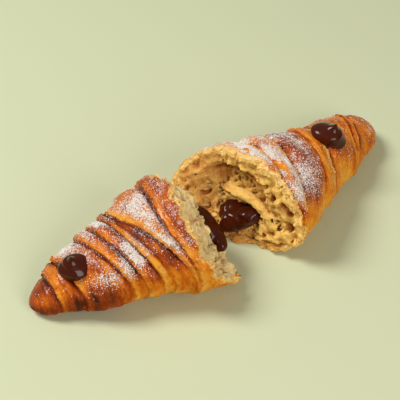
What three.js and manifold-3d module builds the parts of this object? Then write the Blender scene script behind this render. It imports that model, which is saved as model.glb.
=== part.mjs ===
// A filled butter croissant, torn across its middle and opened like a hinge, in millimetres.
// +X runs from the left tip to the right tip, +Z is up, and both halves lie on the plane z = 0.
// The origin is the middle of the footprint. Each half is laid out in axes of its own:
//   s     distance from its tip along its own centre line, towards the tear
//   side  distance across it, positive towards the far side, where the halves still meet
//   z     height above the table
// Angles round a half start at the far side (0) and go over the top (90) to the near side (180).
import * as THREE from "three";
import { mergeVertices } from "three/addons/utils/BufferGeometryUtils.js";
import Module from "manifold-3d";

const wasm = await Module();
wasm.setup();

// ---------------------------------------------------------------- driving dimensions
const TIP_TO_TIP = 178.4; // the whole length as the opened croissant lies
const TIPS_BEHIND = 16; // both tips lie this far behind the middle of the footprint
const HEIGHT_TO_WIDTH = 0.78; // the dough's section is a low oval
const SINK = 0.88; // the oval's centre stands at this share of its half height
const BELLY = 0.92; // the lower half reaches this share of the half height, and the table cuts it flat
const CLEARANCE = 0.3; // gap between two pieces that touch
const COLUMNS = 36; // facets round each half
const LEDGE_RUN = 0.7; // length over which one wrap of dough steps up from the one below
const LEAST_GAP = 1.1; // two ledges that run together stay this far apart
const SLANT_PHASE = 20; // degrees: where a slanted ledge lies nearest to the tip
const SLANT_LATE = 1.4; // above 1, a ledge swings towards the tear late, low on the near side
const TIP_RISE = 0.8; // the knob at the tip narrows by this much where the next wrap covers it
const FLARE_FROM = 70; // the lean of a flared wall starts this far from the tip
const FLARE_RUN = 20;
const FLARE_ANGLE = 30; // degrees: it is greatest here, high on the far side

// Half widths are [distance from the tip, to the far side, to the near side]. A ledge is the edge
// of one wrap: where it starts at the far side, how far it slants towards the tear by the near
// side, and how high it stands.
// The rim is the torn edge, with a tongue that reaches further round the angle `centre`.
// A filling is a soft lump along [s, side, z, half width, half height].
const LEFT = {
  name: "left",
  tip: [-TIP_TO_TIP / 2, TIPS_BEHIND],
  heading: -13.9, // degrees from +X, from the tip to the tear
  halfWidths: [
    [0, 5.2, 6.4],
    [7, 8.1, 9.2],
    [13, 12.6, 11.3],
    [19, 13.8, 14.1],
    [26, 16.3, 17.7],
    [33, 18.7, 19.3],
    [40, 21.5, 19.7],
    [47, 25.3, 21.9],
    [54, 26.4, 24.7],
    [61, 27.6, 29],
    [70, 29.8, 31],
    [84, 30.2, 31.6],
  ],
  cap: 8, // length of the knob's round end
  ledges: [
    { at: 8.4, slant: 2, rise: 1.3 },
    { at: 13.4, slant: 6, rise: 1.2 },
    { at: 24, slant: 13, rise: 1.7 },
    { at: 29.3, slant: 12.8, rise: 1.3 },
    { at: 35.2, slant: 12.6, rise: 1.6 },
    { at: 36.5, slant: 15.3, rise: 1.1 },
    { at: 38, slant: 20.8, rise: 2.8 },
    { at: 54, slant: 6, rise: 1.7 },
  ],
  rim: { at: 60.5, tongue: 19, centre: 245, before: 95, after: 135 },
  flare: 0,
  mouth: [75, 0, 19], // middle of the torn face
  fullness: 1.7, // above 1, the torn face is a dome and not a cone
  cave: { side: 2, z: 21, halfWidth: 17, halfHeight: 11, depth: 2.5 },
  crumbHoles: { count: 9, seed: 11, size: [1.4, 3.2] },
  slot: null,
  fillings: [
    [
      [21, -1, 12, 2.5, 2],
      [44, -2, 16, 5, 3.5],
      [64, -3, 19, 7, 4.5],
      [73.5, -4, 19.5, 6, 3.6],
    ],
    [
      [70, 11, 23.5, 1.6, 1.6],
      [73, 3.5, 21.3, 3, 2.8],
      [75, -3.5, 19.5, 3.3, 3.2],
      [75.8, -9.5, 17.8, 2.9, 2.6],
      [75.6, -15.5, 16, 2.9, 2.4],
    ],
  ],
  dollop: { s: 16.6, angle: 104, radii: [5.4, 5.2], height: 5.2, lean: 0.2, turn: 20 },
};
const RIGHT = {
  name: "right",
  tip: [TIP_TO_TIP / 2, TIPS_BEHIND],
  heading: 192.8,
  halfWidths: [
    [0, 6.4, 5.8],
    [6, 8.7, 8.8],
    [12, 10.6, 11.5],
    [20, 12.9, 13.2],
    [29, 14.5, 15.2],
    [38, 16.1, 17.1],
    [47, 19.2, 17.8],
    [56, 21.3, 20.1],
    [65, 23.9, 22.5],
    [74, 25.9, 24.2],
    [84, 26.7, 26.7],
    [94, 27.2, 28.2],
    [106, 27.6, 28.8],
  ],
  cap: 6,
  ledges: [
    { at: 12.5, slant: 17, rise: 1.2 },
    { at: 15.6, slant: 20, rise: 0.9 },
    { at: 37.5, slant: 18, rise: 1.5 },
    { at: 45.5, slant: 21, rise: 2.3 },
    { at: 62, slant: 26, rise: 1.8 },
    { at: 73, slant: 26, rise: 1.4 },
  ],
  rim: { at: 87.5, tongue: 13, centre: 345, before: 125, after: 70 },
  flare: 5, // the far wall leans outwards at its torn edge
  mouth: [89, 4, 19],
  fullness: 1,
  cave: { side: 6, z: 21, halfWidth: 17.5, halfHeight: 14.5, depth: 10 },
  crumbHoles: { count: 14, seed: 5, size: [1.5, 3.6] },
  slot: [
    [88, 16, 31.5, 3, 1.1],
    [86, 7, 35.6, 7, 1.6],
    [88, -7, 33.8, 3, 1.1],
  ],
  fillings: [
    [
      [48, 1, 14, 3, 2.5],
      [64, 3, 15, 6.5, 5],
      [78, 4.5, 13.5, 9.5, 7],
      [87, 5.5, 11.8, 10.5, 7.2],
      [93, 8, 9.8, 7.5, 5],
      [96.8, 10, 8.3, 3.5, 2.6],
    ],
  ],
  dollop: { s: 40, angle: 100, radii: [6.8, 5.2], height: 7.4, lean: 1.4, turn: -40 },
};

// ---------------------------------------------------------------- small maths
const rad = (degrees) => (degrees * Math.PI) / 180;
const clamp = (x, low = 0, high = 1) => Math.min(high, Math.max(low, x));
const wrapDegrees = (a) => ((((a + 180) % 360) + 360) % 360) - 180;
const turns = (count) => Array.from({ length: count }, (_, j) => (2 * Math.PI * j) / count);
const smooth = (x) => {
  const t = clamp(x);
  return t * t * (3 - 2 * t);
};

// A smooth rise through the values in one column of a short list of stations, without overshoot.
function through(stations, x, column) {
  const last = stations.length - 1;
  if (x >= stations[last][0]) return stations[last][column];
  const i = Math.max(0, stations.findIndex(([d]) => d > x) - 1);
  const slope = (a, b) => (b[column] - a[column]) / (b[0] - a[0]);
  const here = slope(stations[i], stations[i + 1]);
  const before = i > 0 ? slope(stations[i - 1], stations[i]) : here;
  const after = i + 1 < last ? slope(stations[i + 1], stations[i + 2]) : here;
  const mean = (a, b) => (a * b > 0 ? (2 * a * b) / (a + b) : 0);
  const h = stations[i + 1][0] - stations[i][0];
  const t = (x - stations[i][0]) / h;
  const rest = 1 - t;
  const [y0, y1] = [stations[i][column], stations[i + 1][column]];
  const ends = y0 * (1 + 2 * t) * rest ** 2 + y1 * t * t * (3 - 2 * t);
  return ends + h * t * rest * (mean(before, here) * rest - mean(here, after) * t);
}

// Repeatable random numbers from 0 to 1.
function seeded(seed) {
  let state = seed;
  return () => {
    state = (state * 1664525 + 1013904223) % 4294967296;
    return state / 4294967296;
  };
}

// The uneven swell of baked dough: a few slow waves, from -1 to 1.
const swell = (s, angle, seed) =>
  0.5 * Math.sin(s * 0.21 + 2 * angle + seed) +
  0.3 * Math.sin(s * 0.37 - 3 * angle + 2.1 * seed) +
  0.2 * Math.sin(s * 0.11 + 5 * angle - seed);

// ---------------------------------------------------------------- the dough's form
// Half width at an angle, and the height of the section's centre above the table.
function sectionAt(half, s, angle) {
  const far = through(half.halfWidths, s, 1);
  const near = through(half.halfWidths, s, 2);
  const width = near + ((far - near) * (1 + Math.cos(angle))) / 2;
  return { width, centre: (SINK * HEIGHT_TO_WIDTH * (far + near)) / 2 };
}

// The round end of the knob closes the first wrap.
const closing = (half, s) => Math.sqrt(1 - (1 - clamp(s / half.cap)) ** 2);

// How far a slanted ledge has swung towards the tear: 0 at the far side, 1 low on the near side.
const swing = (angle) => ((1 - Math.cos(angle - rad(SLANT_PHASE))) / 2) ** SLANT_LATE;

// Distance of the torn edge from the tip.
function rimAt({ rim }, angle) {
  const from = wrapDegrees((angle * 180) / Math.PI - rim.centre);
  const reach = 1 - smooth(Math.abs(from) / (from < 0 ? rim.before : rim.after));
  const ragged = 0.7 * Math.sin(5 * angle + 1) + 0.5 * Math.sin(11 * angle);
  return rim.at + rim.tongue * reach + ragged + 0.4 * Math.sin(17 * angle + 2);
}

// Distances from the tip, at one angle, of the tip, each ledge and the torn edge, in order.
function linesAt(half, angle) {
  const ledges = half.ledges.map(({ at, slant }) => at + slant * swing(angle));
  const lines = [0, ...ledges, rimAt(half, angle)];
  for (let i = lines.length - 2; i > 0; i -= 1) {
    lines[i] = Math.min(lines[i], lines[i + 1] - LEAST_GAP);
  }
  return lines;
}

// The rise of one wrap from its own ledge (0) over its crown to the foot of the next ledge (1).
function wrapShape(share) {
  const crown = 1.2 * Math.sin(Math.PI * (0.12 + 0.78 * share)) ** 0.8;
  return crown - 0.85 - 0.85 * share ** 5;
}

// A point of the crust, by wrap, share of that wrap and angle round the half.
function crustPoint(half, wrap, share, angle, grow) {
  const lines = linesAt(half, angle);
  const start = lines[wrap] + (wrap > 0 ? LEDGE_RUN / 2 : 0);
  const end = lines[wrap + 1] - (wrap < lines.length - 2 ? LEDGE_RUN / 2 : 0);
  const s = start + (end - start) * share;
  const { width, centre } = sectionAt(half, s, angle);
  const above = 0.65 + 0.35 * Math.sin(angle);
  const rise = wrap > 0 ? half.ledges[wrap - 1].rise * wrapShape(share) : -TIP_RISE * share ** 4;
  const outward = Math.max(0, Math.cos(angle - rad(FLARE_ANGLE)));
  const lean = half.flare * smooth((s - FLARE_FROM) / FLARE_RUN) * outward;
  const uneven = (swell(s, angle, wrap) * width) / 30;
  const radius = (width + rise * above + uneven) * closing(half, s) + lean + grow;
  const halfHeight = HEIGHT_TO_WIDTH * radius * (Math.sin(angle) < 0 ? BELLY : 1);
  const z = Math.max(0, centre + halfHeight * Math.sin(angle));
  return new THREE.Vector3(s, radius * Math.cos(angle), z);
}

// A point of the torn face, from its middle (ring 0) to the torn edge (ring 1).
function tornPoint({ mouth, fullness, cave }, ring, edge) {
  const point = edge.clone().lerp(new THREE.Vector3(...mouth), 1 - ring);
  point.x = edge.x + (mouth[0] - edge.x) * (1 - ring ** fullness);
  const across = (point.y - cave.side) / cave.halfWidth;
  const up = (point.z - cave.z) / cave.halfHeight;
  const crag = 0.8 * Math.sin(point.y * 0.9 + point.z * 0.5) * Math.sin(point.z * 0.8 + 1);
  point.x -= cave.depth * smooth(1.6 * (1 - across ** 2 - up ** 2)) + crag * clamp(4 * (1 - ring));
  return point;
}

// ---------------------------------------------------------------- meshes and solids
// The two level directions of a half: towards the tear, and towards the far side.
function directions(half) {
  const along = new THREE.Vector3(Math.cos(rad(half.heading)), Math.sin(rad(half.heading)), 0);
  const far = new THREE.Vector3(-along.y, along.x, 0).multiplyScalar(Math.sign(along.x));
  return { along, far };
}

// From a half's own axes to the part's.
function place(half, { x, y, z }) {
  const { along, far } = directions(half);
  return new THREE.Vector3(half.tip[0], half.tip[1], z).addScaledVector(along, x).addScaledVector(far, y);
}

// A closed body through rings of points, with one end point before and one after them.
function closedBody(half, first, rings, last) {
  const columns = rings[0].length;
  const points = [first, ...rings.flat(), last].map((point) => place(half, point));
  const end = points.length - 1;
  const at = (row, column) => 1 + row * columns + (column % columns);
  const mirrored = directions(half).along.x < 0;
  const faces = [];
  const face = (a, b, c) => faces.push(...(mirrored ? [a, c, b] : [a, b, c]));
  for (let j = 0; j < columns; j += 1) {
    face(0, at(0, j + 1), at(0, j));
    for (let i = 0; i + 1 < rings.length; i += 1) {
      face(at(i, j), at(i, j + 1), at(i + 1, j));
      face(at(i, j + 1), at(i + 1, j + 1), at(i + 1, j));
    }
    face(end, at(rings.length - 1, j), at(rings.length - 1, j + 1));
  }
  return new THREE.BufferGeometry().setFromPoints(points).setIndex(faces);
}

function solidOf(geometry) {
  geometry.deleteAttribute("normal");
  geometry.deleteAttribute("uv");
  const merged = mergeVertices(geometry, 1e-4);
  const vertProperties = new Float32Array(merged.attributes.position.array);
  const triVerts = new Uint32Array(merged.index.array);
  return new wasm.Manifold(new wasm.Mesh({ numProp: 3, vertProperties, triVerts }));
}

function geometryOf(solid) {
  const { vertProperties, triVerts } = solid.getMesh();
  const geometry = new THREE.BufferGeometry();
  geometry.setAttribute("position", new THREE.BufferAttribute(new Float32Array(vertProperties), 3));
  geometry.setIndex(new THREE.BufferAttribute(new Uint32Array(triVerts), 1));
  return geometry;
}

// ---------------------------------------------------------------- the dough of one half
const KNOB_SHARES = [0.04, 0.16, 0.36, 0.65, 1]; // rows of the first wrap
const SHORT_SHARES = [0, 0.3, 0.7, 1];
const LONG_SHARES = [0, 0.14, 0.34, 0.58, 0.8, 0.93, 1];
const LONG_WRAP = 8; // a wrap longer than this, over the top, has the longer list
const TORN_RINGS = [0.93, 0.82, 0.68, 0.52, 0.36, 0.2, 0.08];

function doughBody(half, grow = 0) {
  const lines = linesAt(half, rad(90));
  const round = turns(COLUMNS);
  const rings = [];
  for (let wrap = 0; wrap <= half.ledges.length; wrap += 1) {
    const long = lines[wrap + 1] - lines[wrap] > LONG_WRAP;
    const shares = wrap === 0 ? KNOB_SHARES : long ? LONG_SHARES : SHORT_SHARES;
    rings.push(...shares.map((share) => round.map((angle) => crustPoint(half, wrap, share, angle, grow))));
  }
  const edge = rings[rings.length - 1];
  rings.push(...TORN_RINGS.map((ring) => edge.map((point) => tornPoint(half, ring, point))));
  const tip = new THREE.Vector3(-grow, 0, sectionAt(half, 0, 0).centre);
  return solidOf(closedBody(half, tip, rings, tornPoint(half, 0, edge[0])));
}

// Bubbles that the tear has opened, scattered over the torn face.
function crumbHoles(half) {
  const { count, seed, size } = half.crumbHoles;
  const random = seeded(seed);
  return Array.from({ length: count }, (_, i) => {
    const angle = i * 2.4 + random();
    const reach = Math.sqrt((i + 0.5) / count) * 0.78;
    const edge = crustPoint(half, half.ledges.length, 1, angle, 0);
    const centre = place(half, tornPoint(half, reach, edge));
    const radius = size[0] + (size[1] - size[0]) * random();
    const bubble = new THREE.IcosahedronGeometry(1, 1);
    bubble.scale(radius * 1.3, radius * (0.8 + 0.8 * random()), radius * 0.8);
    bubble.rotateX((random() - 0.5) * 1.5);
    bubble.rotateZ(rad(half.heading));
    bubble.translate(centre.x, centre.y, centre.z);
    return solidOf(bubble);
  });
}

// A soft lump along stations [s, side, z, half width, half height], round at both ends.
function lump(half, stations, columns, rows, grow = 0) {
  const path = new THREE.CatmullRomCurve3(stations.map(([s, side, z]) => new THREE.Vector3(s, side, z)));
  const sizes = new THREE.CatmullRomCurve3(stations.map(([, , , w, h]) => new THREE.Vector3(w, h, 0)));
  const ring = (t) => {
    const centre = path.getPoint(t);
    const heading = path.getTangent(t).setZ(0).normalize();
    const across = new THREE.Vector3(-heading.y, heading.x, 0);
    const { x: width, y: height } = sizes.getPoint(t);
    const round = Math.sqrt(1 - Math.abs(2 * t - 1) ** 6);
    return turns(columns).map((angle) => {
      const point = centre.clone().addScaledVector(across, (width * round + grow) * Math.cos(angle));
      point.z += (height * round + grow) * Math.sin(angle);
      return point;
    });
  };
  const share = (i) => 0.5 - 0.5 * Math.cos((Math.PI * (i + 0.5)) / rows);
  const rings = Array.from({ length: rows }, (_, i) => ring(share(i)));
  const first = path.getPoint(0).addScaledVector(path.getTangent(0), -grow);
  const last = path.getPoint(1).addScaledVector(path.getTangent(1), grow);
  return solidOf(closedBody(half, first, rings, last));
}

const FILLING_COLUMNS = 14;
const FILLING_ROWS = 14;

function fillingBody(half, grow = 0) {
  const lumps = half.fillings.map((stations) => lump(half, stations, FILLING_COLUMNS, FILLING_ROWS, grow));
  return lumps.reduce((whole, one) => whole.add(one));
}

// A piped dollop with a pulled peak, sunk a little into the crust that it sits on.
const DOLLOP_ROOT = -3.5;
const DOLLOP_PROFILE = [
  [0.8, -0.4],
  [0.97, -0.15],
  [1, 0.12],
  [0.93, 0.38],
  [0.7, 0.62],
  [0.4, 0.76],
  [0.2, 0.88],
]; // shares of the radius and of the height, from the root to the peak

function dollopBody(half) {
  const { s, angle, radii, height, lean, turn } = half.dollop;
  const a = rad(angle);
  const { width, centre } = sectionAt(half, s, a);
  const profile = [
    new THREE.Vector2(0, DOLLOP_ROOT),
    ...DOLLOP_PROFILE.map(([r, h]) => new THREE.Vector2(r, h * height)),
    new THREE.Vector2(0, height),
  ];
  const dollop = new THREE.LatheGeometry(profile, 20);
  dollop.rotateX(Math.PI / 2);
  dollop.scale(radii[0], radii[1], 1);
  const at = dollop.attributes.position;
  for (let i = 0; i < at.count; i += 1) {
    at.setX(i, at.getX(i) + lean * smooth(at.getZ(i) / height) ** 2 * 2);
  }
  dollop.rotateZ(rad(turn));
  const { far } = directions(half);
  const out = new THREE.Vector3(0, 0, Math.sin(a)).addScaledVector(far, HEIGHT_TO_WIDTH * Math.cos(a));
  const upright = new THREE.Quaternion().setFromUnitVectors(new THREE.Vector3(0, 0, 1), out.normalize());
  dollop.applyQuaternion(upright);
  const top = centre + HEIGHT_TO_WIDTH * width * Math.sin(a);
  const foot = place(half, new THREE.Vector3(s, width * Math.cos(a), top));
  dollop.translate(foot.x, foot.y, foot.z);
  return solidOf(dollop).subtract(doughBody(half, CLEARANCE));
}

// ---------------------------------------------------------------- the whole croissant
const crust = { color: 0xb8641f, roughness: 0.45, metalness: 0 };
const chocolate = { color: 0x2e130b, roughness: 0.2, metalness: 0 };
const croissant = new THREE.Group();

function addPiece(name, solid, look) {
  const mesh = new THREE.Mesh(geometryOf(solid), new THREE.MeshStandardMaterial(look));
  mesh.name = name;
  croissant.add(mesh);
}

for (const half of [LEFT, RIGHT]) {
  const holes = crumbHoles(half);
  if (half.slot) holes.push(lump(half, half.slot, 12, 10));
  holes.push(fillingBody(half, CLEARANCE));
  const pastry = holes.reduce((whole, hole) => whole.subtract(hole), doughBody(half));
  addPiece(`pastry_${half.name}`, pastry, crust);
  addPiece(`filling_${half.name}`, fillingBody(half), chocolate);
  addPiece(`dollop_${half.name}`, dollopBody(half), chocolate);
}

export default croissant;
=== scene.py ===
"""A filled butter croissant, torn across its middle and opened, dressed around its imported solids.

Shape code works in millimetres and makes its meshes in metres. Each half is laid out in axes of
its own: s from its tip along its centre line towards the tear, side across it towards the far
side, where the halves lie closest, and z up. Angles round a half start at the far side (0) and go
over the top (90) to the near side (180).
"""

import logging
from dataclasses import dataclass, field
from enum import Enum
from typing import Any, Optional, Sequence, Union

import bpy
import numpy as np
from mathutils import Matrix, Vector


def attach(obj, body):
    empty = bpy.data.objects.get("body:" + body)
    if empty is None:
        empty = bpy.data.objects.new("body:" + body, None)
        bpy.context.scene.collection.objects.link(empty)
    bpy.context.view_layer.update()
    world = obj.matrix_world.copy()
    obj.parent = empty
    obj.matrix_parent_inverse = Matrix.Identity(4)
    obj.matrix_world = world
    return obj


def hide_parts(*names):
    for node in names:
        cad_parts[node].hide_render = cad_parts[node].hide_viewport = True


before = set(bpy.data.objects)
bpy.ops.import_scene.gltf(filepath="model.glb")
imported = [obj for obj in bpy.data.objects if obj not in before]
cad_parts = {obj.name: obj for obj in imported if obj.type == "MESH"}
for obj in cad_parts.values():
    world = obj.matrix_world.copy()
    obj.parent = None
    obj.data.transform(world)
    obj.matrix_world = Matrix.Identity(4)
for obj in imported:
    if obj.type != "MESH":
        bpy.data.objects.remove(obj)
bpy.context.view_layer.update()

BODY = "root"
MM = 0.001  # metres in a millimetre
Array = np.ndarray
Colour = tuple[float, float, float, float]
Value = Union[float, Sequence[float], bpy.types.NodeSocket, "Wire"]
Inputs = dict[Union[str, int], Value]

log = logging.getLogger("croissant")


class Slot(Enum):
    """The record's material slots."""

    CRUST = "crust"
    CRUMB = "crumb"
    CHOCOLATE = "chocolate"
    SUGAR = "sugar"


# ---------------------------------------------------------------- small maths
def clamp(x: Array, low: float = 0.0, high: float = 1.0) -> Array:
    """Keeps values between two limits."""
    return np.minimum(high, np.maximum(low, x))


def smooth(x: Array) -> Array:
    """Rises from 0 to 1 with level ends as x goes from 0 to 1."""
    t = clamp(x)
    return t * t * (3 - 2 * t)


def bump(x: Array, width: float) -> Array:
    """A soft hill of height 1 at x = 0."""
    return np.exp(-((x / width) ** 2))


def through(stations: Array, x: Array, column: int) -> Array:
    """Rises smoothly through one column of a short table, without overshoot.

    Args:
        stations: rows whose first number is a distance.
        x: distances at which the value is wanted.
        column: the column that holds the value.

    Returns:
        The values at x.
    """
    at, value = stations[:, 0], stations[:, column]
    x = clamp(x, at[0], at[-1])
    slope = np.diff(value) / np.diff(at)
    product = slope[:-1] * slope[1:]
    total = slope[:-1] + slope[1:]
    inner = np.where(product > 0, 2 * product / np.where(product > 0, total, 1), 0.0)
    mean = np.concatenate([[slope[0]], inner, [slope[-1]]])
    i = np.clip(np.searchsorted(at, x, side="right") - 1, 0, len(at) - 2)
    h = at[i + 1] - at[i]
    t = (x - at[i]) / h
    rest = 1 - t
    ends = value[i] * (1 + 2 * t) * rest**2 + value[i + 1] * t * t * (3 - 2 * t)
    return ends + h * t * rest * (mean[i] * rest - mean[i + 1] * t)


LATTICE = 32  # the random lattice repeats after this many steps
RANDOM = np.random.default_rng(20).random((4, LATTICE**3))


def scatter(lattice: Array, seed: int) -> Array:
    """Repeatable numbers from 0 to 1 for the points of a lattice.

    Args:
        lattice: whole numbers, with three in the last axis.
        seed: picks the pattern.

    Returns:
        One number for each point.
    """
    shifted = (lattice + np.array([seed * 7, seed * 11, seed * 13])) % LATTICE
    index = (shifted[..., 0] * LATTICE + shifted[..., 1]) * LATTICE + shifted[..., 2]
    return RANDOM[seed % 4][index]


def noise(points: Array, seed: int) -> Array:
    """Smooth random values from -1 to 1, one lattice step of the points to a wave.

    Args:
        points: positions, with three numbers in the last axis.
        seed: picks the pattern.

    Returns:
        One value for each point.
    """
    low = np.floor(points).astype(np.int64)
    t = points - low
    t = t * t * (3 - 2 * t)
    i = (low + np.array([seed * 7, seed * 11, seed * 13])) % LATTICE
    after = (i + 1) % LATTICE
    x0, x1 = i[..., 0] * LATTICE**2, after[..., 0] * LATTICE**2
    y0, y1 = i[..., 1] * LATTICE, after[..., 1] * LATTICE
    z0, z1 = i[..., 2], after[..., 2]
    table = RANDOM[seed % 4]
    tx, ty, tz = np.moveaxis(t, -1, 0)

    def along(x: Array, y: Array) -> Array:
        """Blends the two values along the third axis."""
        low_end = table[x + y + z0]
        return low_end + (table[x + y + z1] - low_end) * tz

    near = along(x0, y0) * (1 - ty) + along(x0, y1) * ty
    distant = along(x1, y0) * (1 - ty) + along(x1, y1) * ty
    return 2 * (near * (1 - tx) + distant * tx) - 1


def layered_noise(points: Array, seed: int, octaves: int = 3) -> Array:
    """Noise with finer and fainter noise on top of it."""
    return sum(noise(points * 2**k, seed + k) * 0.55**k for k in range(octaves))


def cells(points: Array, seed: int) -> tuple[Array, Array, Array]:
    """Distances to the nearest and second nearest of scattered centres, one to a lattice step.

    Args:
        points: positions, with three numbers in the last axis.
        seed: picks the pattern.

    Returns:
        The two distances and a number from 0 to 1 that names the nearest cell.
    """
    low = np.floor(points).astype(np.int64)
    first = np.full(points.shape[:-1], 9.0)
    second = first.copy()
    name = np.zeros_like(first)
    for step in np.ndindex(3, 3, 3):
        cell = low + np.array(step) - 1
        centre = cell + 0.1 + 0.8 * np.stack([scatter(cell, seed + k) for k in range(3)], -1)
        d = np.sqrt(((centre - points) ** 2).sum(-1))
        nearer = d < first
        second = np.where(nearer, first, np.minimum(second, d))
        name = np.where(nearer, scatter(cell, seed + 3), name)
        first = np.where(nearer, d, first)
    return first, second, name


# ---------------------------------------------------------------- sizes of the two halves
@dataclass(frozen=True)
class Ledge:
    """The edge of one wrap of dough: where it starts, how far it slants, how high it stands."""

    at: float
    slant: float
    rise: float
    bend: float = 0.0


@dataclass(frozen=True)
class Rim:
    """The torn edge, with a tongue that reaches further round one angle."""

    at: float
    tongue: float
    centre: float
    before: float
    after: float


@dataclass(frozen=True)
class Cave:
    """The hollow that the tear leaves in the crumb."""

    side: float
    z: float
    half_width: float
    half_height: float


@dataclass(frozen=True)
class Blister:
    """A burst blister in the crust: where it lies, its half sizes and its depth."""

    s: float
    angle: float
    along: float
    around: float
    depth: float

    def share(self, s: Array, angle: Array, radius: Array) -> Array:
        """Goes from 0 outside the blister to 1 in its middle."""
        across = radius * (angle - np.radians(self.angle)) / self.around
        return smooth(1.6 * (1 - ((s - self.s) / self.along) ** 2 - across**2))


@dataclass(frozen=True)
class HalfSizes:
    """Sizes of one half, as in the solids."""

    name: str
    tip: tuple[float, float]
    heading: float
    half_widths: tuple[tuple[float, float, float], ...]
    cap: float
    ledges: tuple[Ledge, ...]
    rim: Rim
    flare: float
    mouth: tuple[float, float, float]
    fullness: float
    cave: Cave
    bands: tuple[float, ...]  # how brown each wrap is, from the tip
    dusted: tuple[float, ...]  # how much sugar lies on each wrap, from the tip
    flank: tuple[float, float]  # how brown the low sides are, and how much browner near the tip
    blisters: tuple[Blister, ...] = ()


# Lengths are in millimetres and angles in degrees.
TIP_TO_TIP = 178.4
TIPS_BEHIND = 16.0  # how far the tips lie behind the middle
HEIGHT_TO_WIDTH = 0.78  # of a section above its centre
SINK = 0.88  # height of a section's centre, as a share of its half height
BELLY = 0.92  # height below the centre, as a share of the height above it
LEDGE_RUN = 0.7  # from the end of one wrap to the start of the next
LEAST_GAP = 1.1  # between two ledges
SLANT_PHASE = 20.0  # angle at which a ledge lies nearest the tip
SLANT_LATE = 1.4  # above 1, a ledge starts its slant late
BEND_ANGLE = 112.0  # where a ledge's bend is strongest
TIP_RISE = 0.8  # how far the first wrap dips at its foot
FLARE_FROM = 70.0  # where the dough starts to lean outward, over which length and at which angle most
FLARE_RUN = 20.0
FLARE_ANGLE = 30.0

LEFT = HalfSizes(
    name="left",
    tip=(-TIP_TO_TIP / 2, TIPS_BEHIND),
    heading=-13.9,
    half_widths=(
        (0, 5.2, 6.4),
        (7, 8.1, 9.2),
        (13, 12.6, 11.3),
        (19, 13.8, 14.1),
        (26, 16.3, 17.7),
        (33, 18.7, 19.3),
        (40, 21.5, 19.7),
        (47, 25.3, 21.9),
        (54, 26.4, 24.7),
        (61, 27.6, 29),
        (70, 29.8, 31),
        (84, 30.2, 31.6),
    ),
    cap=8,
    ledges=(
        Ledge(8.4, 2, 1.3),
        Ledge(13.4, 6, 1.2),
        Ledge(24, 13, 1.7),
        Ledge(29.3, 12.8, 1.3),
        Ledge(35.2, 12.6, 1.6),
        Ledge(36.5, 15.3, 1.1),
        Ledge(38, 20.8, 2.8),
        Ledge(54, 6, 1.7, -3.2),
    ),
    rim=Rim(60.5, 19, 245, 95, 135),
    flare=0,
    mouth=(75, 0, 19),
    fullness=1.7,
    cave=Cave(2, 21, 17, 11),
    bands=(0.64, 0.5, 0.5, 0.5, 0.6, 0.3, 0.66, 0.46, 0.56),
    dusted=(0.04, 0.05, 1.05, 1.0, 1.2, 0.6, 0.3, 1.0, 0.5),
    flank=(0.48, 0.5),
)
RIGHT = HalfSizes(
    name="right",
    tip=(TIP_TO_TIP / 2, TIPS_BEHIND),
    heading=192.8,
    half_widths=(
        (0, 6.4, 5.8),
        (6, 8.7, 8.8),
        (12, 10.6, 11.5),
        (20, 12.9, 13.2),
        (29, 14.5, 15.2),
        (38, 16.1, 17.1),
        (47, 19.2, 17.8),
        (56, 21.3, 20.1),
        (65, 23.9, 22.5),
        (74, 25.9, 24.2),
        (84, 26.7, 26.7),
        (94, 27.2, 28.2),
        (106, 27.6, 28.8),
    ),
    cap=6,
    ledges=(
        Ledge(12.5, 17, 1.9),
        Ledge(15.6, 20, 1.4),
        Ledge(37.5, 18, 1.5),
        Ledge(45.5, 21, 2.3),
        Ledge(62, 26, 1.8),
        Ledge(73, 26, 1.4),
    ),
    rim=Rim(87.5, 13, 345, 125, 70),
    flare=5,
    mouth=(89, 4, 19),
    fullness=1,
    cave=Cave(6, 21, 17.5, 14.5),
    bands=(0.5, 0.36, 0.44, 0.3, 0.62, 0.38, 0.32),
    dusted=(0.15, 0.05, 0.2, 0.12, 0.9, 1.2, 1.2),
    flank=(0.36, 0.1),
    blisters=(Blister(79.2, 107, 2.2, 4.8, 1.5), Blister(83.5, 80, 1.2, 1.8, 0.8)),
)


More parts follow.
